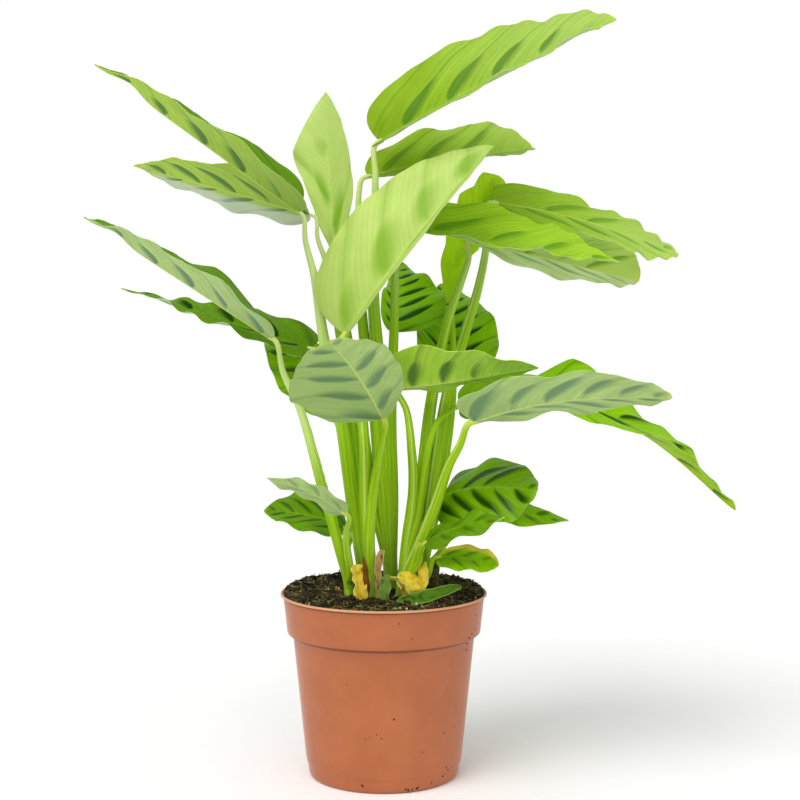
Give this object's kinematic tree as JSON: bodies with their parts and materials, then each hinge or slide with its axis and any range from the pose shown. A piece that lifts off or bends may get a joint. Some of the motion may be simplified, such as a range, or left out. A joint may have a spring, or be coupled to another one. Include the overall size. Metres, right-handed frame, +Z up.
{
  "type": "potted calathea",
  "caption": "Leafy foliage plant with broad striped leaves on upright stalks, rooted in soil in a tapered round nursery pot.",
  "frame": {"origin": "centre of the pot's flat base", "axes": "+Z up along the pot's axis, +X to the right and +Y to the back of the front view"},
  "size_m": [0.3659, 0.2105, 0.4406],
  "materials": {
    "pot_plastic": "matt terracotta-coloured moulded plastic",
    "soil": null,
    "stalk": "smooth yellow-green leaf stalks with lengthwise ribs, leather stands in for their density",
    "leaf_blade": "satin green leaf with darker oval stripes above and grey-green below",
    "old_leaf": "dry yellow leaf",
    "old_sheath": "dry brown leaf sheath",
    "young_sheath": "pale green leaf sheath"
  },
  "bodies": {
    "root": {"pot": "pot_plastic", "soil": "soil", "shoot_left": "stalk", "shoot_back_left": "stalk", "shoot_front_left": "stalk", "shoot_back_centre": "stalk", "shoot_front_right": "stalk", "shoot_back_right": "stalk", "leaf_top_right": "leaf_blade", "leaf_second_right": "leaf_blade", "leaf_upright_back": "leaf_blade", "leaf_large_centre": "leaf_blade", "leaf_top_left": "leaf_blade", "leaf_upper_left": "leaf_blade", "leaf_middle_left": "leaf_blade", "leaf_narrow_left": "leaf_blade", "leaf_inner_left": "leaf_blade", "leaf_front_left": "leaf_blade", "leaf_front_centre": "leaf_blade", "leaf_front_right": "leaf_blade", "leaf_drooping_right": "leaf_blade", "leaf_upper_right": "leaf_blade", "leaf_right_centre": "leaf_blade", "leaf_right_under": "leaf_blade", "leaf_rolled_right": "leaf_blade", "leaf_dark_centre": "leaf_blade", "leaf_dark_right": "leaf_blade", "leaf_low_right": "leaf_blade", "leaf_low_right_front": "leaf_blade", "leaf_low_right_back": "leaf_blade", "leaf_yellowing_right": "leaf_blade", "leaf_low_left_curled": "leaf_blade", "leaf_low_left": "leaf_blade", "old_stub_mossy": "old_sheath", "old_leaf_yellow_left": "old_leaf", "old_sheath_brown": "old_sheath", "old_sheath_tan": "old_sheath", "young_sheath_green": "young_sheath", "old_leaf_yellow_curled": "old_leaf", "old_leaf_yellow_right": "old_leaf", "sheath_crescent_green": "young_sheath"}
  },
  "joints": []
}
